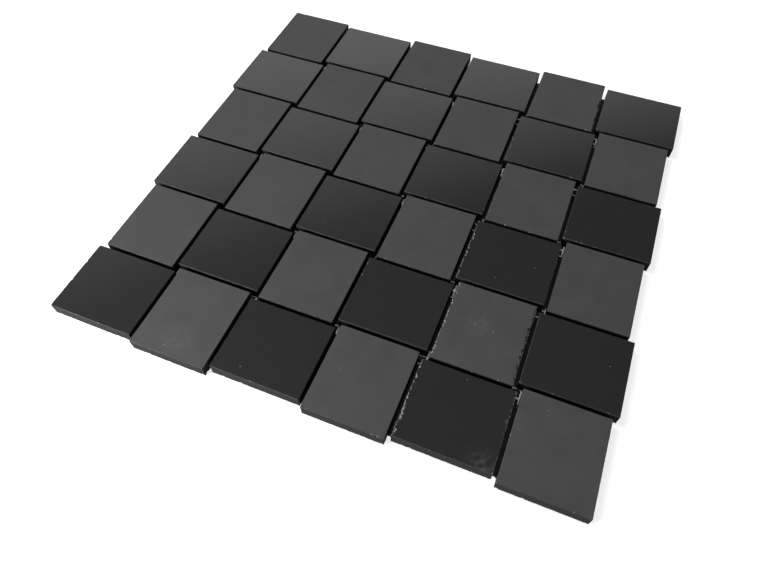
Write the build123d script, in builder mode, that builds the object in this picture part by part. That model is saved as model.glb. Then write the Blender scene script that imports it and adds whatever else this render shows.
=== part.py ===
"""Mosaic sheet: sawn stone tiles laid crosswise to each other on a fibreglass backing mesh.

Every tile is the same rectangle. Polished tiles lie with their long side across the sheet and honed tiles
with it front to back, like the two colours of a chessboard, so the sheet's edges are stepped and a small
square pocket is left open wherever four tiles meet. The mesh holds the tiles from below.

Frame: origin at the centre of the sheet's underside, +X across, +Y to the back, +Z up through the tiles.
Units are millimetres.
"""

import math
import os

from build123d import *

# Tiles
COLUMNS = 6
ROWS = 6
TILE_LONG = 51.6
TILE_SHORT = 45.4
TILE_THICKNESS = 7.6
TILE_ARRIS = 0.4  # bevel that eases the edges of a tile's face
JOINT = 2.3  # open joint between neighbours, left for grout

# Backing mesh
MESH_PITCH = 5.2  # from one strand to the next
STRAND_WIDTH = 1.0
STRAND_THICKNESS = 0.25
STRAND_SINK = 0.1  # how far crossing strands are pressed into each other
MESH_SETBACK = 1.0  # least distance of the mesh from the edge of the tiles that stand furthest in
MESH_PANELS = 3  # panels that the mesh is divided into, each way

# Worked out from the sizes above
TILE_PITCH = (TILE_LONG + TILE_SHORT) / 2 + JOINT
MESH_THICKNESS = 2 * STRAND_THICKNESS - STRAND_SINK


def centred(index, count, pitch):
    """Place of item number index, counted from 0, in a row of count items about the middle."""
    return (index - (count - 1) / 2) * pitch


def is_polished(row, column):
    """Polished and honed tiles take turns along every row and every column."""
    return (row + column) % 2 == 0


def make_tile(row, column):
    """One sawn stone tile, standing on the mesh, with the edges of its face eased."""
    width, depth = (TILE_LONG, TILE_SHORT) if is_polished(row, column) else (TILE_SHORT, TILE_LONG)
    centre = (centred(column, COLUMNS, TILE_PITCH), centred(row, ROWS, TILE_PITCH), MESH_THICKNESS)
    with BuildPart() as tile:
        with BuildSketch(Plane(origin=centre)):
            Rectangle(width, depth)
        extrude(amount=TILE_THICKNESS)
        chamfer(tile.faces().sort_by(Axis.Z)[-1].edges(), TILE_ARRIS)
    finish = "polished" if is_polished(row, column) else "honed"
    tile.part.label = f"{finish}_tile_r{row + 1}_c{column + 1}"
    return tile.part


def panel_strands(tiles):
    """Strands in one panel of the mesh, as many as let all the panels fit under a row of that many tiles."""
    covered = (tiles - 1) * TILE_PITCH + TILE_SHORT - 2 * MESH_SETBACK
    return math.floor(covered / (MESH_PANELS * MESH_PITCH))


def make_mesh_panel(strands_x, strands_y):
    """One panel of the backing mesh: strands laid across others and joined where they cross.

    The strands end midway to the next one, so panels set side by side make one mesh.
    """
    width, depth = strands_x * MESH_PITCH, strands_y * MESH_PITCH
    with BuildPart() as panel:
        with BuildSketch():
            with GridLocations(MESH_PITCH, depth, strands_x, 1):
                Rectangle(STRAND_WIDTH, depth)
        extrude(amount=STRAND_THICKNESS)
        with BuildSketch(Plane.XY.offset(STRAND_THICKNESS - STRAND_SINK)):
            with GridLocations(width, MESH_PITCH, 1, strands_y):
                Rectangle(width, STRAND_WIDTH)
        extrude(amount=STRAND_THICKNESS)
    return panel.part


def make_pieces():
    """Every piece of the sheet, tiles first."""
    for row in range(ROWS):
        for column in range(COLUMNS):
            yield make_tile(row, column)
    strands_x, strands_y = panel_strands(COLUMNS), panel_strands(ROWS)
    panel = make_mesh_panel(strands_x, strands_y)
    for row in range(MESH_PANELS):
        for column in range(MESH_PANELS):
            x = centred(column, MESH_PANELS, strands_x * MESH_PITCH)
            y = centred(row, MESH_PANELS, strands_y * MESH_PITCH)
            placed = panel.moved(Location((x, y, 0)))
            placed.label = f"backing_mesh_r{row + 1}_c{column + 1}"
            yield placed


os.makedirs("parts", exist_ok=True)
for piece in make_pieces():
    export_step(piece, f"parts/{piece.label}.step", write_pcurves=False)
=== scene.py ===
"""Dresses the mosaic tile sheet: chipped stone tiles on a woven backing mesh, in a plain studio.

All lengths are in metres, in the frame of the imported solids: origin at the centre of the sheet's underside,
+X across, +Y to the back, +Z up. Rows of tiles are counted from the front and columns from the left.
"""

import logging
import math
from dataclasses import dataclass, field
from enum import Enum

import bpy
import numpy as np
from bpy.types import Material, Mesh, Node, NodeSocket, NodeTree, Object
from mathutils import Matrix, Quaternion, Vector

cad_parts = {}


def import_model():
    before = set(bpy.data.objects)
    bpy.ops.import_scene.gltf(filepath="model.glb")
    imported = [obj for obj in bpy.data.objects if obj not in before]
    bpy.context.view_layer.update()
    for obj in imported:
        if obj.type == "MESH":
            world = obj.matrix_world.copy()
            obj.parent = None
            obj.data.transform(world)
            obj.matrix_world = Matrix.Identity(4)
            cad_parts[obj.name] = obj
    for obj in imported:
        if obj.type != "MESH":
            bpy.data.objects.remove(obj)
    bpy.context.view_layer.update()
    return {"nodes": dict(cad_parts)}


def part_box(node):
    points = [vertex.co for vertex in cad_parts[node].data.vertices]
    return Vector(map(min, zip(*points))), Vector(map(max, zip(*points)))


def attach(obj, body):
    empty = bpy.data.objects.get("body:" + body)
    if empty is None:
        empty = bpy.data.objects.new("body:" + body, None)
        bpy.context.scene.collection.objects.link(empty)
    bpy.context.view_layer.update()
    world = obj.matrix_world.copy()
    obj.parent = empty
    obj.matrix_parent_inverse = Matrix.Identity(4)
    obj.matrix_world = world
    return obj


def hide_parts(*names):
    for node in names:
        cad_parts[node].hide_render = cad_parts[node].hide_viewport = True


log = logging.getLogger("mosaic_sheet")

Array = np.ndarray
Pair = tuple[float, float]
Triple = tuple[float, float, float]

MM = 0.001
BODY = "root"
BAKE_MAP = "OFBake"
CHIP = "chip"
CHARACTER = "character"
SPOT = "dust_spot"
YARN = "yarn"
RELIEF = 0.05 * MM  # depth of the finest relief of every finish
SKIN_SHARE = 0.9  # width of a skin on a flat map, as a share of its shelf


class Face(Enum):
    """How the face of a tile is finished; the value starts the name of its node."""

    POLISHED = "polished"
    HONED = "honed"

    @property
    def slot(self) -> str:
        """Material slot of the record that a tile with this face takes its finish from."""
        return f"stone_{self.value}"


class Zone(Enum):
    """Part of a tile's skin; the value is its place among the tile's materials."""

    FACE = 0
    EDGE = 1
    SIDE = 2
    BACK = 3


class Side(Enum):
    """Side of a tile, counter-clockwise from the front."""

    FRONT = 0
    RIGHT = 1
    REAR = 2
    LEFT = 3


class Nodes:
    """Adds the nodes of one shader tree and joins them."""

    def __init__(self, tree: NodeTree) -> None:
        """Keeps the tree that the nodes go into."""
        self.tree = tree

    def add(self, kind: str, inputs: dict | None = None, **settings: object) -> Node:
        """Adds a node.

        Args:
            kind: the node's type, without the ShaderNode in front.
            inputs: socket name or number, to a value or to the output that feeds it.
            settings: the node's own properties.

        Returns:
            The new node.
        """
        node = self.tree.nodes.new(f"ShaderNode{kind}")
        for name, value in settings.items():
            setattr(node, name, value)
        for key, value in (inputs or {}).items():
            if isinstance(value, NodeSocket):
                self.tree.links.new(value, node.inputs[key])
            else:
                node.inputs[key].default_value = value
        return node

    def feed(self, node: Node, inputs: dict[str, NodeSocket]) -> None:
        """Joins outputs to a node's inputs, which are given by name."""
        for name, output in inputs.items():
            self.tree.links.new(output, node.inputs[name])

    def place(self, group: NodeTree, vector: NodeSocket) -> Node:
        """Places a shared group on these coordinates and returns its node."""
        node = self.add("Group")
        node.node_tree = group
        self.feed(node, {"Vector": vector})
        return node

    def math(self, operation: str, *values: object, clamp: bool = False) -> NodeSocket:
        """Adds a Math node on values or outputs and returns its output."""
        return self.add("Math", dict(enumerate(values)), operation=operation, use_clamp=clamp).outputs[0]

    def vector(self, operation: str, *values: object) -> NodeSocket:
        """Adds a Vector Math node on vectors or outputs and returns its vector."""
        return self.add("VectorMath", dict(enumerate(values)), operation=operation).outputs[0]

    def mix(self, factor: object, first: object, second: object) -> NodeSocket:
        """Mixes two colours by a factor and returns the colour."""
        return self.add("Mix", {0: factor, 6: first, 7: second}, data_type="RGBA").outputs[2]

    def fade(self, value: object, low: object, high: object, first: object, last: object) -> NodeSocket:
        """Turns a value between low and high smoothly into one between first and last."""
        inputs = {0: value, 1: low, 2: high, 3: first, 4: last}
        return self.add("MapRange", inputs, interpolation_type="SMOOTHSTEP").outputs[0]

    def noise(self, vector: object, size: float, detail: float = 2.0, distortion: float = 0.0) -> NodeSocket:
        """Adds a noise whose lumps are about size wide and returns its value, about 0.5 on average."""
        inputs = {"Vector": vector, "Scale": 1 / size, "Detail": detail, "Distortion": distortion}
        return self.add("TexNoise", inputs).outputs[0]


def grey(tone: float, warmth: float = 0.0) -> tuple[float, ...]:
    """Colour of a tone that is neutral, or as much warmer as it is said."""
    return (tone, tone * (1 - warmth), tone * (1 - 2 * warmth), 1.0)


def new_group(name: str, inputs: dict[str, str], outputs: dict[str, str]) -> tuple[Nodes, dict, Node]:
    """Starts a shader node group.

    Args:
        name: the group's name.
        inputs: socket name to kind, such as Float or Vector.
        outputs: likewise.

    Returns:
        The group's nodes, its inputs by name, and the node that its outputs go to.
    """
    tree = bpy.data.node_groups.new(name, "ShaderNodeTree")
    for sockets, way in ((inputs, "INPUT"), (outputs, "OUTPUT")):
        for label, kind in sockets.items():
            tree.interface.new_socket(name=label, in_out=way, socket_type=f"NodeSocket{kind}")
    given = tree.nodes.new("NodeGroupInput")
    result = tree.nodes.new("NodeGroupOutput")
    return Nodes(tree), {label: given.outputs[label] for label in inputs}, result


def new_material(name: str, tone: float) -> tuple[Material, Nodes, Node]:
    """Starts a material.

    Args:
        name: the material's name.
        tone: its plain tone, for views that don't read nodes.

    Returns:
        The material, its nodes, and its Principled BSDF, joined to the output.
    """
    material = bpy.data.materials.new(name)
    material.use_nodes = True
    material.diffuse_color = grey(tone)
    return material, Nodes(material.node_tree), material.node_tree.nodes["Principled BSDF"]


@dataclass(frozen=True)
class StoneGrain:
    """Grain of a fine dark stone: broad clouds, close crystals and a few pale specks."""

    cloud: float = 14 * MM
    crystal: float = 0.45 * MM
    speck_spacing: float = 1.6 * MM
    speck_reach: Pair = (0.05, 0.14)  # where a speck starts and ends to fade, in spacings
    speck_chance: Pair = (0.8, 1.0)  # random values of cells with no and a full speck

    def group(self) -> NodeTree:
        """Builds the pattern.

        Tone is the mean of clouds and crystals, Specks marks the middle of a few cells of a cell pattern, and
        Height is the crystals alone.

        Returns:
            A group from coordinates to Tone, Specks and Height.
        """
        nodes, given, result = new_group(
            "stone_grain", {"Vector": "Vector"}, {"Tone": "Float", "Specks": "Float", "Height": "Float"}
        )
        clouds = nodes.noise(given["Vector"], self.cloud, detail=5.0, distortion=0.6)
        crystals = nodes.noise(given["Vector"], self.crystal, detail=3.0)
        tone = nodes.math("MULTIPLY", nodes.math("ADD", clouds, crystals), 0.5)
        cells = nodes.add("TexVoronoi", {"Vector": given["Vector"], "Scale": 1 / self.speck_spacing})
        chance = nodes.add("SeparateColor", {0: cells.outputs["Color"]}).outputs[0]
        middle = nodes.fade(cells.outputs["Distance"], *self.speck_reach, 1.0, 0.0)
        specks = nodes.math("MULTIPLY", middle, nodes.fade(chance, *self.speck_chance, 0.0, 1.0))
        nodes.feed(result, {"Tone": tone, "Specks": specks, "Height": crystals})
        return nodes.tree


@dataclass(frozen=True)
class StoneDust:
    """What lies on a tile's face: grains of pale dust, wiped smears and hairline scratches."""

    grain_spacing: float = 15 * MM
    grain_chance: Pair = (0.93, 1.12)  # random values of cells with no and a full grain
    grain_gain: float = 2.0  # what a full amount of dust adds to those values
    grain_reach: float = 0.02  # radius of a full grain, in spacings
    wiping: float = 0.6  # direction that the dust was wiped in, in radians
    smear: float = 2.2 * MM
    smear_stretch: float = 0.6  # scale of the smears along the wiping, as a share of that across
    smear_level: Pair = (0.3, 0.8)  # noise where the film starts and is full
    scratch_length: float = 40 * MM
    scratch_width: float = 0.5 * MM
    scratch_level: Pair = (0.7, 0.76)  # noise where a scratch starts and is full
    scratch_strength: float = 0.6

    def group(self) -> NodeTree:
        """Builds the pattern.

        Grains are the middles of the cells of a cell pattern, as large as the cell's random value says. Film
        is a noise drawn out along the wiping, and in it are the crests of a noise drawn out to lines.

        Returns:
            A group from coordinates and Amount to Grains and Film.
        """
        nodes, given, result = new_group(
            "stone_dust", {"Vector": "Vector", "Amount": "Float"}, {"Grains": "Float", "Film": "Float"}
        )
        inputs = {"Vector": given["Vector"], "Scale": 1 / self.grain_spacing}
        cells = nodes.add("TexVoronoi", inputs, voronoi_dimensions="2D")
        chance = nodes.add("SeparateColor", {0: cells.outputs["Color"]}).outputs[1]
        chance = nodes.math("MULTIPLY_ADD", given["Amount"], self.grain_gain, chance)
        reach = nodes.fade(chance, *self.grain_chance, 0.0, self.grain_reach)
        grains = nodes.math("LESS_THAN", cells.outputs["Distance"], reach)
        inputs = {"Vector": given["Vector"], "Angle": self.wiping}
        turned = nodes.add("VectorRotate", inputs, rotation_type="Z_AXIS")
        drawn = (1 / self.smear, self.smear_stretch / self.smear, 1 / self.smear)
        drawn = nodes.vector("MULTIPLY", turned.outputs[0], drawn)
        wiped = nodes.noise(drawn, 1.0, detail=10.0, distortion=0.2)
        wiped = nodes.fade(wiped, *self.smear_level, 0.0, 1.0)
        drawn = (1 / self.scratch_width, 1 / self.scratch_length, 1 / self.scratch_length)
        lines = nodes.noise(nodes.vector("MULTIPLY", turned.outputs[0], drawn), 1.0, detail=1.0)
        lines = nodes.fade(lines, *self.scratch_level, 0.0, self.scratch_strength)
        scratches = nodes.math("MULTIPLY", lines, wiped)
        film = nodes.math("MULTIPLY", nodes.math("ADD", wiped, scratches), given["Amount"], clamp=True)
        nodes.feed(result, {"Grains": grains, "Film": film})
        return nodes.tree


@dataclass(frozen=True)
class SawMarks:
    """Marks of the saw on a cut side: long lines close above each other."""

    line: float = 0.5 * MM
    length: float = 18 * MM

    def group(self) -> NodeTree:
        """Builds the pattern, a noise drawn out along the side.

        Returns:
            A group from coordinates to Lines.
        """
        nodes, given, result = new_group("saw_marks", {"Vector": "Vector"}, {"Lines": "Float"})
        drawn = nodes.vector("MULTIPLY", given["Vector"], (1 / self.length, 1 / self.length, 1 / self.line))
        nodes.feed(result, {"Lines": nodes.noise(drawn, 1.0, detail=3.0)})
        return nodes.tree


@dataclass(frozen=True)
class Patterns:
    """The node groups that several finishes share."""

    grain: NodeTree
    dust: NodeTree
    saw: NodeTree

    @classmethod
    def build(cls) -> "Patterns":
        """Builds every group once."""
        return cls(StoneGrain().group(), StoneDust().group(), SawMarks().group())


@dataclass(frozen=True)
class StoneFinish:
    """One finish of the stone.

    The tone is the share of light it gives back, and contrast is how far the grain moves it. Film and grains
    are the tones of dust on it, saw is the strength of saw marks, chip the tone of a fresh break and smear
    the tone of adhesive wiped over it; each of them is left out where it is 0. Gloss is the shader's specular
    level.
    """

    name: str
    tone: float
    contrast: float
    roughness: float
    bump: float
    film: float = 0.0
    grains: float = 0.0
    saw: float = 0.0
    chip: float = 0.0
    smear: float = 0.0
    gloss: float = 0.5
    grain_swing: float = 4.0  # how far the grain's tone moves the colour, in contrasts
    speck_gain: float = 3.0  # how far a speck does
    rough_swing: float = 0.3  # how far the grain's tone moves the roughness, as a share of it
    saw_gain: float = 1.6  # how much lighter the crests of the saw marks are
    saw_relief: float = 2.0  # height of the saw marks, in heights of the crystals
    saw_level: Pair = (0.35, 0.7)  # noise where the crests start and are full
    chip_grain: float = 0.7 * MM
    chip_level: Pair = (0.47, 0.58)  # noise where a break is dark and pale
    smear_size: float = 9 * MM
    smear_level: Pair = (0.46, 0.6)  # noise where the adhesive starts and is full
    smear_cover: float = 0.85
    smear_warmth: float = 0.04
    spot_cover: float = 0.7  # amount of dust in the middle of a dust spot
    film_roughness: float = 0.3  # what a full film of dust adds
    grain_roughness: float = 0.5  # and what a grain of dust adds

    def material(self, patterns: Patterns) -> Material:
        """Builds the material on object coordinates, which each tile shifts by its own character.

        The grain's tone is about 0.5, so the level that it gives the colour is about 1, and the roughness
        comes out about as given.

        Args:
            patterns: the shared node groups.

        Returns:
            The material.
        """
        material, nodes, shader = new_material(self.name, self.tone)
        shader.inputs["Specular IOR Level"].default_value = self.gloss
        character = nodes.add("Attribute", attribute_name=CHARACTER).outputs["Vector"]
        shift, shade, dusty = nodes.add("SeparateXYZ", {0: character}).outputs
        apart = nodes.add("CombineXYZ", {0: shift, 1: shift, 2: shift}).outputs[0]
        place = nodes.vector("ADD", nodes.add("TexCoord").outputs["Object"], apart)
        grain = nodes.place(patterns.grain, place).outputs
        swing = self.grain_swing * self.contrast
        level = nodes.math("MULTIPLY_ADD", grain["Tone"], swing, 1 - swing / 2)
        level = nodes.math("ADD", level, shade)
        level = nodes.math("MULTIPLY_ADD", grain["Specks"], self.speck_gain * self.contrast, level)
        inputs = {0: grey(self.tone)[:3], "Scale": level}
        colour = nodes.add("VectorMath", inputs, operation="SCALE").outputs[0]
        swing = self.rough_swing * self.roughness
        rough = nodes.math("MULTIPLY_ADD", grain["Tone"], swing, self.roughness - swing / 2)
        height = grain["Height"]
        if self.saw:
            lines = nodes.place(patterns.saw, place).outputs["Lines"]
            crest = nodes.fade(lines, *self.saw_level, 0.0, self.saw)
            colour = nodes.mix(crest, colour, grey(self.tone * self.saw_gain))
            height = nodes.math("MULTIPLY_ADD", lines, self.saw_relief, height)
        if self.chip:
            chip = nodes.add("Attribute", attribute_name=CHIP).outputs["Fac"]
            fleck = nodes.fade(nodes.noise(place, self.chip_grain), *self.chip_level, 0.0, 1.0)
            colour = nodes.mix(nodes.math("MULTIPLY", chip, fleck), colour, grey(self.chip))
        if self.smear:
            patch = nodes.noise(place, self.smear_size, detail=4.0, distortion=0.8)
            patch = nodes.fade(patch, *self.smear_level, 0.0, self.smear_cover)
            colour = nodes.mix(patch, colour, grey(self.smear, self.smear_warmth))
        if self.film:
            spot = nodes.add("Attribute", attribute_name=SPOT).outputs["Vector"]
            away = nodes.vector("SUBTRACT", nodes.add("TexCoord").outputs["Object"], spot)
            away = nodes.vector("MULTIPLY", away, (1.0, 1.0, 0.0))
            away = nodes.add("VectorMath", {0: away}, operation="LENGTH").outputs["Value"]
            reach = nodes.add("SeparateXYZ", {0: spot}).outputs[2]
            dust = nodes.place(patterns.dust, place)
            spotted = nodes.fade(away, 0.0, reach, self.spot_cover, 0.0)
            nodes.feed(dust, {"Amount": nodes.math("ADD", dusty, spotted)})
            colour = nodes.mix(dust.outputs["Film"], colour, grey(self.film))
            colour = nodes.mix(dust.outputs["Grains"], colour, grey(self.grains))
            rough = nodes.math("MULTIPLY_ADD", dust.outputs["Film"], self.film_roughness, rough)
            inputs = (dust.outputs["Grains"], self.grain_roughness, rough)
            rough = nodes.math("MULTIPLY_ADD", *inputs, clamp=True)
        relief = nodes.add("Bump", {"Strength": self.bump, "Distance": RELIEF, "Height": height})
        nodes.feed(shader, {"Base Color": colour, "Roughness": rough, "Normal": relief.outputs[0]})
        return material


@dataclass(frozen=True)
class YarnFinish:
    """Glass fibre yarn in a clear coat: off-white, with twisted filaments whose crests are painted lighter as
    a painted highlight and whose grooves are painted darker as painted shade.
    """

    name: str = "fibreglass_yarn"
    tone: float = 0.8
    groove_shade: float = 0.6  # painted shade: tone between the filaments, as a share of theirs
    warmth: float = 0.02
    filament: float = 0.16 * MM
    crest: float = 0.6  # height of the wave, from 0 to 1, above which a filament has its full painted highlight
    twist: float = 3 * MM
    bump: float = 0.5
    roughness: Pair = (0.32, 0.55)  # least and most
    noise_range: Pair = (0.3, 0.7)  # noise that gives them
    stain: float = 0.03  # tone of the dark adhesive on the yarn
    stain_warmth: float = 0.05
    stain_size: float = 1.5 * MM
    stain_level: Pair = (0.58, 0.7)  # noise where the adhesive starts and is full
    stain_cover: float = 0.9

    def material(self) -> Material:
        """Builds the material on the yarn attribute, which holds the places across and along a strand.

        The filaments are the crests of a sine of the place across plus a share of the place along; their
        crests are painted lighter as a highlight and the grooves between them darker as painted shade. Dark
        adhesive lies on the yarn where a noise is high.

        Returns:
            The material.
        """
        material, nodes, shader = new_material(self.name, self.tone)
        yarn = nodes.add("Attribute", attribute_name=YARN).outputs["Vector"]
        across, along, _ = nodes.add("SeparateXYZ", {0: yarn}).outputs
        turn = nodes.math("MULTIPLY", along, 2 * math.pi / self.twist)
        wave = nodes.math("SINE", nodes.math("MULTIPLY_ADD", across, 2 * math.pi / self.filament, turn))
        fleck = nodes.noise(nodes.add("TexCoord").outputs["Object"], self.stain_size, detail=3.0)
        ridge = nodes.math("MULTIPLY_ADD", wave, 0.5, 0.5)
        # painted highlight on the filaments' crests and painted shade in the grooves between them
        light, dark = (grey(tone, self.warmth) for tone in (self.tone, self.tone * self.groove_shade))
        colour = nodes.mix(nodes.fade(ridge, 0.0, self.crest, 0.0, 1.0), dark, light)
        stained = nodes.fade(fleck, *self.stain_level, 0.0, self.stain_cover)
        colour = nodes.mix(stained, colour, grey(self.stain, self.stain_warmth))
        rough = nodes.fade(fleck, *self.noise_range, *self.roughness)
        relief = nodes.add("Bump", {"Strength": self.bump, "Distance": RELIEF, "Height": ridge})
        nodes.feed(shader, {"Base Color": colour, "Roughness": rough, "Normal": relief.outputs[0]})
        return material


@dataclass(frozen=True)
class Shell:
    """A closed skin of rings of points between two poles, cut into triangles.

    Vertex 0 is the first pole, the rings follow one after the other, and the last vertex is the second pole.
    The points of a ring go counter-clockwise, seen from outside the first pole. Ring and column give each
    corner's place on the grid: poles are rings -1 and rings, and columns run on past the last one.
    """

    rings: int
    columns: int
    vertex: Array = field(init=False)
    ring: Array = field(init=False)
    column: Array = field(init=False)

    def __post_init__(self) -> None:
        """Works out the corners of every triangle, shape (triangles, 3), for the rings and columns."""
        end = self.rings - 1
        near = np.arange(self.columns)
        far, midway = near + 1, near + 0.5
        first = np.tile([-1, 0, 0], (self.columns, 1)), np.stack([midway, near, far], 1)
        last = np.tile([self.rings, end, end], (self.columns, 1)), np.stack([midway, far, near], 1)
        row, near = (grid.ravel() for grid in np.meshgrid(np.arange(end), near, indexing="ij"))
        lower = np.stack([row, row + 1, row + 1], 1), np.stack([near, near, near + 1], 1)
        upper = np.stack([row, row + 1, row], 1), np.stack([near, near + 1, near + 1], 1)
        ring, column = (np.concatenate(parts) for parts in zip(first, lower, upper, last))
        vertex = 1 + ring * self.columns + np.floor(column).astype(int) % self.columns
        vertex = np.where(ring < 0, 0, np.where(ring >= self.rings, 1 + self.rings * self.columns, vertex))
        for name, value in (("vertex", vertex), ("ring", ring), ("column", column)):
            object.__setattr__(self, name, value)

    @property
    def size(self) -> int:
        """Number of vertices."""
        return self.rings * self.columns + 2

    def skins(self, rings: Array, first: Array, last: Array) -> tuple[Array, Array]:
        """Joins many skins of this kind.

        Args:
            rings: points of shape (skins, rings, columns, 3).
            first: first poles, of shape (skins, 3).
            last: second poles, likewise.

        Returns:
            All vertices, and all triangles as vertex numbers.
        """
        count = len(rings)
        points = np.concatenate([first[:, None], rings.reshape(count, -1, 3), last[:, None]], axis=1)
        triangles = self.vertex[None] + (np.arange(count) * self.size)[:, None, None]
        return points.reshape(-1, 3), triangles.reshape(-1, 3)

    def tubes(self, rings: Array) -> tuple[Array, Array]:
        """Joins many skins whose poles are the middles of their end rings."""
        middles = rings.mean(axis=2)
        return self.skins(rings, middles[:, 0], middles[:, -1])

    def shelves(self, count: int) -> Array:
        """Places of all corners on a flat map of that many skins, each on a shelf of its own."""
        across = (np.arange(count)[:, None, None] + SKIN_SHARE * (self.column / self.columns)) / count
        along = (self.ring + 1) / (self.rings + 1)
        return np.stack(np.broadcast_arrays(across, along), -1)


def new_piece(name: str, points: Array, triangles: Array, materials: list[Material]) -> Object:
    """Makes a piece that rides on the sheet.

    Args:
        name: the piece's name.
        points: vertices, in the frame.
        triangles: vertex numbers, three to a face.
        materials: what it wears, in order.

    Returns:
        The piece, at the origin.
    """
    mesh = bpy.data.meshes.new(name)
    mesh.from_pydata(points, [], triangles)
    for material in materials:
        mesh.materials.append(material)
    piece = bpy.data.objects.new(name, mesh)
    bpy.context.scene.collection.objects.link(piece)
    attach(piece, BODY)
    log.info("%s: %d triangles", name, len(triangles))
    return piece


def set_attribute(mesh: Mesh, name: str, values: Array) -> None:
    """Gives a mesh an attribute with one number or vector for each vertex."""
    kind, key = ("FLOAT", "value") if values.ndim == 1 else ("FLOAT_VECTOR", "vector")
    mesh.attributes.new(name, kind, "POINT").data.foreach_set(key, values.astype(np.float32).ravel())


def set_map(mesh: Mesh, places: Array) -> None:
    """Gives a mesh its flat map, with one place for each corner of its triangles."""
    mesh.uv_layers.new(name=BAKE_MAP).uv.foreach_set("vector", places.astype(np.float32).ravel())


def bites(along: Array, length: float, centre: Array, reach: Array, depth: Array) -> Array:
    """Depth of the chips along a closed edge.

    A chip is a parabola about its centre, depth * (1 - (way / reach) ** 2), and the deepest one counts.

    Args:
        along: places on the edge.
        length: length of the whole edge.
        centre: where the chips are.
        reach: how far each goes to either side.
        depth: how deep each is.

    Returns:
        The depth at each place.
    """
    way = np.abs(along[:, None] - centre)
    way = np.minimum(way, length - way)
    return (depth * np.clip(1 - (way / reach) ** 2, 0, None)).max(axis=1)


@dataclass(frozen=True)
class DustSpot:
    """Patch of pale dust on one tile's face, placed from the middle of the tile."""

    row: int
    column: int
    right: float
    back: float
    reach: float


DUST_SPOTS = (
    DustSpot(1, 2, 1 * MM, -17 * MM, 16 * MM),
    DustSpot(1, 5, 20 * MM, -21 * MM, 14 * MM),
    DustSpot(2, 5, -3 * MM, 3 * MM, 11 * MM),
)

NO_SPOT = (1.0, 1.0, MM)  # place off the sheet, and reach

EDGE_RINGS = slice(1, 4)  # rings of a tile's skin in the breaks of the face's edges
FOOT_RINGS = slice(6, 8)  # and those in the breaks of the back's edges

RAGGED_COLUMN = 5
RAGGED_SIDES: dict[tuple[int, Side], float] = {  # row and side, to the paleness of the breaks
    (1, Side.LEFT): 0.7,
    (1, Side.RIGHT): 1.0,
    (2, Side.LEFT): 0.8,
    (2, Side.RIGHT): 0.65,
    (3, Side.LEFT): 0.5,
    (4, Side.LEFT): 0.04,
    (5, Side.LEFT): 0.04,
    (6, Side.LEFT): 0.04,
    (6, Side.RIGHT): 0.04,
}


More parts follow.
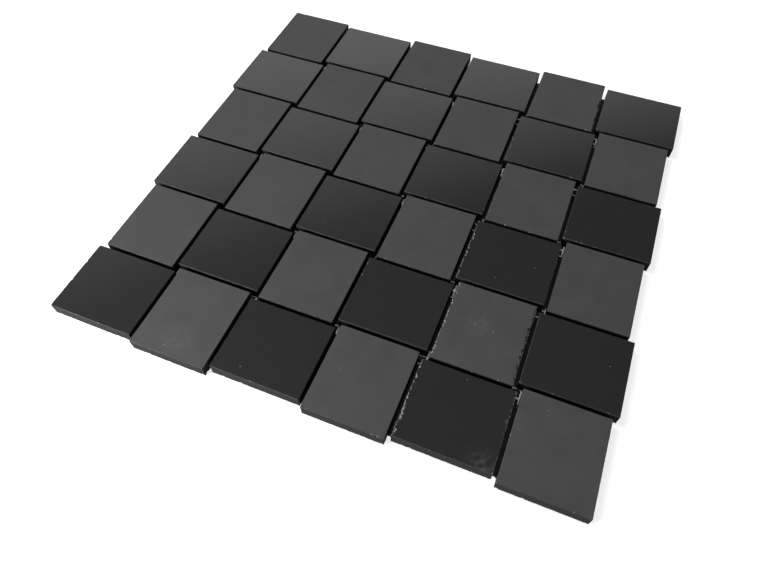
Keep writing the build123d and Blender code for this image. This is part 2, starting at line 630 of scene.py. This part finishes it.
@dataclass
class Tile:
    """One stone tile: a sawn block with chipped edges, which takes the place of its solid.

    Columns of its skin go round the outline, and rings go from the middle of the face to that of the back.
    """

    node: str
    step: float = 0.3 * MM  # from column to column
    arris: float = 0.22 * MM  # how far the edges of the face are eased
    foot: float = 0.12 * MM  # and those of the back
    border: float = 3 * MM  # from the outline to the first ring of the face
    roughness: float = 0.05 * MM  # of the sawn sides
    chip_reach: float = 0.3 * MM  # usual half length of a chip on the face's edges
    chip_spacing: float = 16 * MM  # and usual distance from chip to chip
    ragged_reach: float = 0.8 * MM  # likewise on the ragged sides
    ragged_spacing: float = 1.0 * MM
    foot_reach: float = 0.45 * MM  # likewise on the back's edges
    foot_spacing: float = 2.5 * MM
    corner_share: float = 0.25  # share of the face's corners that are chipped
    paleness: float = 0.45  # of the chips on the face's edges that aren't ragged
    foot_paleness: float = 0.1  # of the chips on the back's edges
    pale_gain: float = 2.5  # a break is fully pale where it bites as deep as a chip's reach over this
    chip_spread: float = 0.6  # of the chips' lengths, as the deviation of their logarithm
    chip_limits: Pair = (0.4, 2.5)  # of the chips' lengths, as shares of the usual one
    chip_depth: Pair = (0.2, 0.95)  # of the chips, as shares of their half length
    dusty: float = 0.05  # amount of dust on the tiles at the front right
    clean: float = 0.015  # and on the others
    dust_range: Pair = (0.7, 1.3)  # of the dust, as shares of those amounts
    shade_spread: float = 0.02  # from tile to tile
    ease_range: Pair = (0.6, 1.25)  # of the eased edges, as shares of the arris
    hollow_range: Pair = (0.42, 0.7)  # of the hollow in a break, as shares of the break
    foot_range: Pair = (0.3, 1.0)  # of the back's edges, as shares of the foot
    side_levels: Pair = (0.66, 0.33)  # of the rings on the side, as shares of the height
    quarter: float = 54 * MM  # side of a quarter of the flat map
    strip: float = 0.1  # share of the flat map's height that each side takes
    map_margin: float = 0.01

    def __post_init__(self) -> None:
        """Reads the tile's finish, row, column and box from its node, and seeds its random numbers."""
        finish, _, row, column = self.node.split("_")
        self.face = Face(finish)
        self.row, self.column = int(row[1:]), int(column[1:])
        self.low, self.high = (np.array(corner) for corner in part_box(self.node))
        self.random = np.random.default_rng([self.row, self.column])

    def outline(self) -> tuple[Array, Array, Array]:
        """Points round the tile, from the front left corner.

        The points of a side start and end half a step from its corners, so the upright edges are blunt.

        Returns:
            Points of shape (columns, 2), the side of each, and its place along the whole outline.
        """
        (x0, y0), (x1, y1) = self.low[:2], self.high[:2]
        start = np.array([[x0, y0], [x1, y0], [x1, y1], [x0, y1]])
        way = np.roll(start, -1, axis=0) - start
        length = np.abs(way).sum(axis=1)
        count = np.rint(length / self.step).astype(int)
        side = np.repeat(np.arange(4), count)
        share = (np.arange(count.sum()) - (np.cumsum(count) - count)[side] + 0.5) / count[side]
        along = (np.cumsum(length) - length)[side] + share * length[side]
        return start[side] + way[side] * share[:, None], side, along

    def ragged(self) -> Array:
        """Paleness of the breaks on each side whose edge is ragged, and 0 for the other sides."""
        sides = RAGGED_SIDES if self.column == RAGGED_COLUMN else {}
        return np.array([sides.get((self.row, side), 0.0) for side in Side])

    def chips(self, along: Array, spacing: Array, reach: Array, corners: float = 0.0) -> tuple[Array, ...]:
        """Breaks out chips at random places along an edge.

        Args:
            along: places of the columns along the outline.
            spacing: usual distance between the chips on each side.
            reach: usual half length of a chip on each side.
            corners: share of the corners that are chipped too.

        Returns:
            How far the chips bite inwards and how far they go up or down the side, at each column.
        """
        width, depth = (self.high - self.low)[:2]
        length = np.array([width, depth, width, depth])
        start = np.cumsum(length) - length
        side = np.repeat(np.arange(4), np.rint(length / spacing).astype(int))
        centre = start[side] + self.random.uniform(size=len(side)) * length[side]
        corner = np.flatnonzero(self.random.uniform(size=4) < corners)
        side, centre = np.concatenate([side, corner]), np.concatenate([centre, start[corner]])
        spread = np.clip(self.random.lognormal(0.0, self.chip_spread, len(side)), *self.chip_limits)
        reach = reach[side] * spread
        share = self.random.uniform(*self.chip_depth, (2, len(side)))
        return tuple(bites(along, length.sum(), centre, reach, reach * part) for part in share)

    def skin(self) -> tuple[Shell, Array, Array, Array]:
        """Works out the skin.

        A ring is the outline drawn in towards the middle of the tile by an inset that changes from column to
        column, at a height that does too. From the face down: a ring inside the border, the upper line of the
        edge, a hollow ring in the break, its lower line, two rings on the side, the upper and lower line of
        the back's edge, and a ring inside the border of the back.

        Returns:
            The shell, its vertices, how broken each vertex is from 0 to 1, and the side of each column.
        """
        outline, side, along = self.outline()
        ragged = self.ragged()
        spacing = np.where(ragged > 0, self.ragged_spacing, self.chip_spacing)
        reach = np.where(ragged > 0, self.ragged_reach, self.chip_reach)
        bite, drop = self.chips(along, spacing, reach, self.corner_share)
        count = len(along)
        rough = self.random.uniform(0, self.roughness, (4, count))
        ease = self.arris * self.random.uniform(*self.ease_range, (2, count))
        hollow = self.random.uniform(*self.hollow_range, (2, count))
        foot = self.foot * self.random.uniform(*self.foot_range, (2, count))
        foot = foot + self.chips(along, np.full(4, self.foot_spacing), np.full(4, self.foot_reach))
        upper, lower = ease[0] + bite, ease[1] + drop
        border = np.full(count, self.border)
        inset = np.stack([border, upper, upper * hollow[0], *rough, foot[0], border])
        bottom, top = self.low[2], self.high[2]
        face, back = np.full(count, top), np.full(count, bottom)
        edge = [top - lower * hollow[1], top - lower]
        walls = [np.full(count, bottom + level * (top - bottom)) for level in self.side_levels]
        height = np.stack([face, face, *edge, *walls, bottom + foot[1], back, back])
        middle, half = (self.low + self.high)[:2] / 2, (self.high - self.low)[:2] / 2
        flat = middle + (outline - middle)[None] * (1 - inset[..., None] / half)
        rings = np.concatenate([flat, height[..., None]], axis=-1)
        shell = Shell(len(rings), count)
        poles = np.array([[*middle, top], [*middle, bottom]])
        points, _ = shell.skins(rings[None], poles[:1], poles[1:])
        broken = np.zeros_like(inset)
        pale = np.where(ragged > 0, ragged, self.paleness)[side]
        broken[EDGE_RINGS] = np.clip(bite / self.chip_reach * self.pale_gain, 0, 1) * pale
        broken[FOOT_RINGS] = np.clip(foot[0] / self.foot_reach, 0, 1) * self.foot_paleness
        return shell, points, np.concatenate([[0], broken.ravel(), [0]]), side

    def flat_map(self, shell: Shell, points: Array, zone: Array, side: Array) -> Array:
        """Lays the skin out flat, with face and back in a quarter of the map each and the sides in strips.

        Args:
            shell: the skin's grid.
            points: its vertices.
            zone: zone of each triangle.
            side: side of each column.

        Returns:
            The place of each triangle's corners, from 0 to 1.
        """
        scale = 0.5 / self.quarter
        corner = points[shell.vertex]
        flat = (corner[..., :2] - self.low[:2]) * scale + self.map_margin
        back = flat + [0, 0.5]
        first = np.searchsorted(side, np.arange(4))
        wall = side[np.floor(shell.column[:, 0]).astype(int) % shell.columns]
        way = (shell.column - first[wall][:, None]) * self.step * scale
        rise = (corner[..., 2] - self.low[2]) * scale
        strip = np.stack([way + 0.5, rise + self.strip * wall[:, None]], -1) + self.map_margin
        low = (shell.ring.min(axis=1) >= FOOT_RINGS.start)[:, None, None]
        return np.where((zone == Zone.SIDE.value)[:, None, None], strip, np.where(low, back, flat))

    def build(self, finishes: dict[Zone, Material]) -> None:
        """Makes the tile's piece and puts it in the place of its solid.

        Args:
            finishes: material of each zone.
        """
        shell, points, broken, side = self.skin()
        bands = [Zone.FACE] * 2 + [Zone.EDGE] * 2 + [Zone.SIDE] * 3 + [Zone.EDGE] + [Zone.BACK] * 2
        zone = np.array([band.value for band in bands])[shell.ring.min(axis=1) + 1]
        piece = new_piece(f"{self.node}_stone", points, shell.vertex, [finishes[z] for z in Zone])
        piece.data.polygons.foreach_set("material_index", zone.astype(np.int32))
        set_attribute(piece.data, CHIP, broken)
        set_attribute(piece.data, CHARACTER, np.tile(self.character(), (len(points), 1)))
        set_attribute(piece.data, SPOT, np.tile(self.dust_spot(), (len(points), 1)))
        set_map(piece.data, self.flat_map(shell, points, zone, side))
        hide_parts(self.node)

    def character(self) -> Triple:
        """The tile's own shift of the grain, shade of the stone, and dust, which lies at the front right."""
        dust = self.dusty if self.column - self.row > 1 else self.clean
        shift, shade = self.random.uniform(0, 1), self.random.normal(0, self.shade_spread)
        return (shift, shade, dust * self.random.uniform(*self.dust_range))

    def dust_spot(self) -> Triple:
        """Place and reach of the dust spot on the tile's face, or one off the sheet where it has none."""
        x, y = (self.low + self.high)[:2] / 2
        for spot in DUST_SPOTS:
            if (spot.row, spot.column) == (self.row, self.column):
                return (x + spot.right, y + spot.back, spot.reach)
        return NO_SPOT


@dataclass
class MeshPanel:
    """One panel of the backing mesh: flat strands of yarn that pass over and under each other."""

    node: str
    pitch: float = 5.2 * MM
    width: float = 0.95 * MM
    wander: float = 0.07 * MM
    wander_length: float = 41 * MM
    wander_turn: float = 2.1  # of its sine, from strand to strand, in radians
    sides: int = 6
    points_per_pitch: int = 4

    def __post_init__(self) -> None:
        """Reads the panel's box."""
        self.low, self.high = (np.array(corner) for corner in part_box(self.node))

    def strands(self, axis: int) -> tuple[Array, Array]:
        """Works out the strands that run along an axis.

        Strand k lies k pitches from the middle of the sheet. At place t along it, its centre line is a
        quarter of the mesh's thickness times cos(pi * t / pitch) above the middle, or below it for every
        other strand and for the other axis, and it wanders sideways by a slow sine. Its skin is a flat
        ellipse about that.

        Args:
            axis: 0 for strands along X, 1 for those along Y.

        Returns:
            Points of shape (strands, rings, columns, 3), and as many places across and along the strand.
        """
        other = 1 - axis
        k = np.arange(math.ceil(self.low[other] / self.pitch), math.floor(self.high[other] / self.pitch) + 1)
        rings = round((self.high[axis] - self.low[axis]) / self.pitch) * self.points_per_pitch + 1
        t = np.linspace(self.low[axis], self.high[axis], rings)
        angle = np.arange(self.sides) * 2 * math.pi / self.sides
        k, t, angle = np.meshgrid(k, t, angle, indexing="ij")
        thick = (self.high[2] - self.low[2]) / 4
        turn = 1 if axis else -1
        across = self.width / 2 * np.cos(angle)
        phase = self.wander_turn * k + axis
        wander = self.wander * np.sin(2 * math.pi * t / self.wander_length + phase)
        points = np.empty((*k.shape, 3))
        points[..., axis] = t
        points[..., other] = k * self.pitch + wander + turn * across
        sway = turn * np.where(k % 2, -1, 1) * np.cos(math.pi * t / self.pitch)
        points[..., 2] = (self.low[2] + self.high[2]) / 2 + thick * (sway + np.sin(angle))
        return points, np.stack([across, t, k], -1)

    def build(self, material: Material) -> None:
        """Makes the panel's piece, smooth, and puts it in the place of its solid.

        Args:
            material: the yarn.
        """
        sets = [self.strands(axis) for axis in (0, 1)]
        rings = np.concatenate([points for points, _ in sets])
        yarn = np.concatenate([places for _, places in sets])
        shell = Shell(*rings.shape[1:3])
        points, triangles = shell.tubes(rings)
        piece = new_piece(f"{self.node}_yarn", points, triangles, [material])
        piece.data.polygons.foreach_set("use_smooth", np.ones(len(triangles), bool))
        set_attribute(piece.data, YARN, shell.tubes(yarn)[0])
        set_map(piece.data, shell.shelves(len(rings)))
        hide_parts(self.node)


@dataclass
class JointShadeFilm:
    """Thin dark film below the joints, a near-black sheet of painted shade that covers the mesh where the
    slots between the tiles lie in deep shade.
    """

    tiles: list[Tile]
    panels: list[MeshPanel]
    width: float = 7.6 * MM
    thickness: float = 0.04 * MM
    low_level: float = 0.06 * MM  # of the film in the pockets, above the underside of the mesh
    high_level: float = 0.372 * MM  # of the film in the joints, where its painted shade covers the yarn
    crossing: float = 0.01 * MM  # how much higher the film below the joints between rows lies
    pocket: Pair = (4.5 * MM, 7 * MM)  # from a pocket's middle to the start and end of the rise
    half_share: float = 0.45  # usual half width, as a share of the width
    wave_share: float = 0.025  # how far each of two waves moves the edges, likewise
    waves: Pair = (3.7 * MM, 1.3 * MM)  # lengths of the waves for one radian
    phases: Pair = (90.0, -70.0)  # of the waves, in radians for a metre from band to band
    bluntness: float = 0.3  # power that the cosine of the section is raised to
    margin: float = 0.6 * MM  # from the end of the film to the edge of the mesh
    rings: int = 240
    sides: int = 6

    def joints(self, axis: int) -> Array:
        """Mean places of the joints across an axis, midway between the middles of neighbouring tiles."""
        middles = np.unique(np.round([(tile.low + tile.high)[axis] / 2 for tile in self.tiles], 6))
        return (middles[1:] + middles[:-1]) / 2

    def bands(self, axis: int) -> Array:
        """Works out the bands of film that run along an axis.

        A band is a flat section with blunt edges, which come from a power of the cosine of its angle, carried
        along its joint. Two sines of the place along it make its edges wavy. It lies low in the pockets and
        rises smoothly between them.

        Args:
            axis: 0 for bands along X, 1 for those along Y.

        Returns:
            Points of shape (bands, rings, columns, 3).
        """
        other = 1 - axis
        low = np.min([panel.low for panel in self.panels], axis=0)
        high = np.max([panel.high for panel in self.panels], axis=0)
        t = np.linspace(low[axis] + self.margin, high[axis] - self.margin, self.rings)
        angle = np.arange(self.sides) * 2 * math.pi / self.sides
        centre, t, angle = np.meshgrid(self.joints(other), t, angle, indexing="ij")
        waves = sum(np.sin(t / wave + phase * centre) for wave, phase in zip(self.waves, self.phases))
        half = self.width * (self.half_share + self.wave_share * waves)
        points = np.empty((*t.shape, 3))
        points[..., axis] = t
        blunt = np.sign(np.cos(angle)) * np.abs(np.cos(angle)) ** self.bluntness
        points[..., other] = centre + (1 if axis else -1) * half * blunt
        way = np.abs(t[..., None] - self.joints(axis)).min(axis=-1)
        share = np.clip((way - self.pocket[0]) / (self.pocket[1] - self.pocket[0]), 0, 1)
        level = self.low_level + (self.high_level - self.low_level) * share ** 2 * (3 - 2 * share)
        level = low[2] + level + (0 if axis else self.crossing)
        points[..., 2] = level + self.thickness / 2 * np.sin(angle)
        return points

    def build(self, material: Material) -> None:
        """Makes all the bands as one piece.

        Args:
            material: the film, whose near-black colour is painted shade.
        """
        rings = np.concatenate([self.bands(axis) for axis in (0, 1)])
        shell = Shell(self.rings, self.sides)
        points, triangles = shell.tubes(rings)
        piece = new_piece("joint_shade_film", points, triangles, [material])
        set_map(piece.data, shell.shelves(len(rings)))


@dataclass(frozen=True)
class Lamp:
    """A square soft lamp that the camera doesn't see."""

    name: str
    place: Triple
    aim: Triple
    size: float
    power: float

    def hang(self) -> None:
        """Hangs the lamp at its place and turns it to its aim."""
        light = bpy.data.lights.new(self.name, "AREA")
        light.size = self.size
        light.energy = self.power
        lamp = bpy.data.objects.new(self.name, light)
        lamp.location = self.place
        lamp.rotation_euler = (Vector(self.aim) - Vector(self.place)).to_track_quat("-Z", "Y").to_euler()
        lamp.visible_camera = False
        bpy.context.scene.collection.objects.link(lamp)


@dataclass
class Studio:
    """A white floor in a dim room with a bright wall at the back left and three soft lamps."""

    floor_size: float = 8.0
    floor_gap: float = 0.02 * MM  # below the sheet
    floor_tone: float = 0.8
    floor_lift: float = 0.62  # glow of the floor to the camera, which makes it white and keeps the shadow
    wall_azimuth: float = -39.0  # where the wall is nearest, in degrees from +Y towards +X
    wall_top: Pair = (0.655, 1.38)  # start and end of its fade, as shares of its distance
    wall_light: float = 1.225
    least_way: float = 0.001  # towards the wall, for rays that turn away from it
    room_light: float = 0.05
    lamps: tuple[Lamp, ...] = (
        Lamp("overhead_lamp", (0.05, 0.0, 2.0), (0.0, 0.0, 0.0), 0.3, 7.8),
        Lamp("upper_left_lamp", (-0.5, -0.05, 1.0), (0.0, 0.0, 0.0), 0.3, 3.3),
        Lamp("low_front_left_lamp", (-0.38, -0.5, 0.14), (-0.1, -0.15, 0.0), 0.2, 4.7),
    )
    camera_place: Triple = (0.08781, -0.25078, 0.29723)
    camera_azimuth: float = 21.919
    camera_elevation: float = 56.105
    camera_roll: float = -0.126
    camera_lens: float = 28.886
    camera_clip: float = 0.01

    def floor(self) -> None:
        """Lays the floor just under the sheet, as part of the stage."""
        mesh = bpy.data.meshes.new("floor")
        half = self.floor_size / 2
        corners = [(x * half, y * half, -self.floor_gap) for x, y in ((-1, -1), (1, -1), (1, 1), (-1, 1))]
        mesh.from_pydata(corners, [], [(0, 1, 2, 3)])
        material, nodes, shader = new_material("white_floor", self.floor_tone)
        shader.inputs["Base Color"].default_value = grey(self.floor_tone)
        shader.inputs["Roughness"].default_value = 1.0
        path = nodes.add("LightPath").outputs
        seen = nodes.math("MAXIMUM", path["Is Camera Ray"], path["Is Glossy Ray"])
        seen = nodes.math("MAXIMUM", seen, path["Is Transmission Ray"])
        glow = nodes.add("Emission", {"Strength": nodes.math("MULTIPLY", seen, self.floor_lift)})
        both = nodes.add("AddShader", {0: shader.outputs[0], 1: glow.outputs[0]})
        nodes.feed(material.node_tree.nodes["Material Output"], {"Surface": both.outputs[0]})
        mesh.materials.append(material)
        floor = bpy.data.objects.new("floor", mesh)
        bpy.context.scene.collection.objects.link(floor)

    def light(self) -> None:
        """Lights the studio.

        The wall is all that lies lower than its top: the ray's rise over its way towards the wall is below
        the wall's height over its distance. The camera sees plain white instead.
        """
        world = bpy.data.worlds.new("studio")
        bpy.context.scene.world = world
        world.use_nodes = True
        nodes = Nodes(world.node_tree)
        ray = nodes.add("TexCoord").outputs["Generated"]
        turn = math.radians(self.wall_azimuth)
        inputs = {0: ray, 1: (math.sin(turn), math.cos(turn), 0.0)}
        towards = nodes.add("VectorMath", inputs, operation="DOT_PRODUCT")
        rise = nodes.add("SeparateXYZ", {0: ray}).outputs[2]
        height = nodes.math("DIVIDE", rise, nodes.math("MAXIMUM", towards.outputs["Value"], self.least_way))
        strength = nodes.fade(height, *self.wall_top, self.wall_light, self.room_light)
        seen = nodes.add("LightPath").outputs["Is Camera Ray"]
        strength = nodes.add("Mix", {0: seen, 2: strength, 3: 1.0}).outputs[0]
        nodes.feed(world.node_tree.nodes["Background"], {"Strength": strength})
        world.node_tree.nodes["Background"].inputs["Color"].default_value = (1.0, 1.0, 1.0, 1.0)
        for lamp in self.lamps:
            lamp.hang()
        bpy.context.scene.view_settings.view_transform = "Standard"

    def camera(self) -> None:
        """Sets the camera where the picture was taken from, looking down along its azimuth and elevation."""
        data = bpy.data.cameras.new("camera")
        data.lens = self.camera_lens
        data.clip_start = self.camera_clip
        camera = bpy.data.objects.new("camera", data)
        turn, rise = math.radians(self.camera_azimuth), math.radians(self.camera_elevation)
        back = Vector((math.sin(turn) * math.cos(rise), -math.cos(turn) * math.cos(rise), math.sin(rise)))
        camera.rotation_mode = "QUATERNION"
        roll = Quaternion((0.0, 0.0, 1.0), math.radians(self.camera_roll))
        camera.rotation_quaternion = (-back).to_track_quat("-Z", "Y") @ roll
        camera.location = self.camera_place
        bpy.context.scene.collection.objects.link(camera)
        bpy.context.scene.camera = camera


POLISHED = StoneFinish(
    "polished_stone", tone=0.025, contrast=0.06, roughness=0.09, bump=0.02, film=0.06, grains=0.4
)
HONED = StoneFinish(
    "honed_stone", tone=0.062, contrast=0.22, roughness=0.55, bump=0.25, film=0.11, grains=0.25, gloss=0.2
)
EDGE = StoneFinish("broken_edge", tone=0.05, contrast=0.2, roughness=0.6, bump=0.5, chip=0.35, gloss=0.3)
SAWN = StoneFinish("sawn_side", tone=0.024, contrast=0.12, roughness=0.75, bump=0.5, saw=0.4, gloss=0.05)
BACK = StoneFinish("tile_back", tone=0.06, contrast=0.12, roughness=0.85, bump=0.5, smear=0.5, gloss=0.2)
# painted shade: the near-black film that darkens the bottoms of the joints
SHADE_FILM = StoneFinish("painted_shade_film", tone=0.008, contrast=0.2, roughness=0.6, bump=0.2, gloss=0.2)


def main() -> None:
    """Builds the sheet and the studio in order."""
    logging.basicConfig(level=logging.INFO, format="%(message)s")
    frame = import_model()
    patterns = Patterns.build()
    finishes = {Zone.EDGE: EDGE, Zone.SIDE: SAWN, Zone.BACK: BACK}
    shared = {zone: finish.material(patterns) for zone, finish in finishes.items()}
    faces = {Face.POLISHED: POLISHED.material(patterns), Face.HONED: HONED.material(patterns)}
    tiles = [Tile(node) for node in sorted(frame["nodes"]) if "_tile_" in node]
    for tile in tiles:
        tile.build({Zone.FACE: faces[tile.face], **shared})
    yarn = YarnFinish().material()
    panels = [MeshPanel(node) for node in sorted(frame["nodes"]) if "_tile_" not in node]
    for panel in panels:
        panel.build(yarn)
    # the film below the joints is painted shade
    JointShadeFilm(tiles, panels).build(SHADE_FILM.material(patterns))
    studio = Studio()
    studio.floor()
    studio.light()
    studio.camera()


if __name__ == "__main__":
    main()
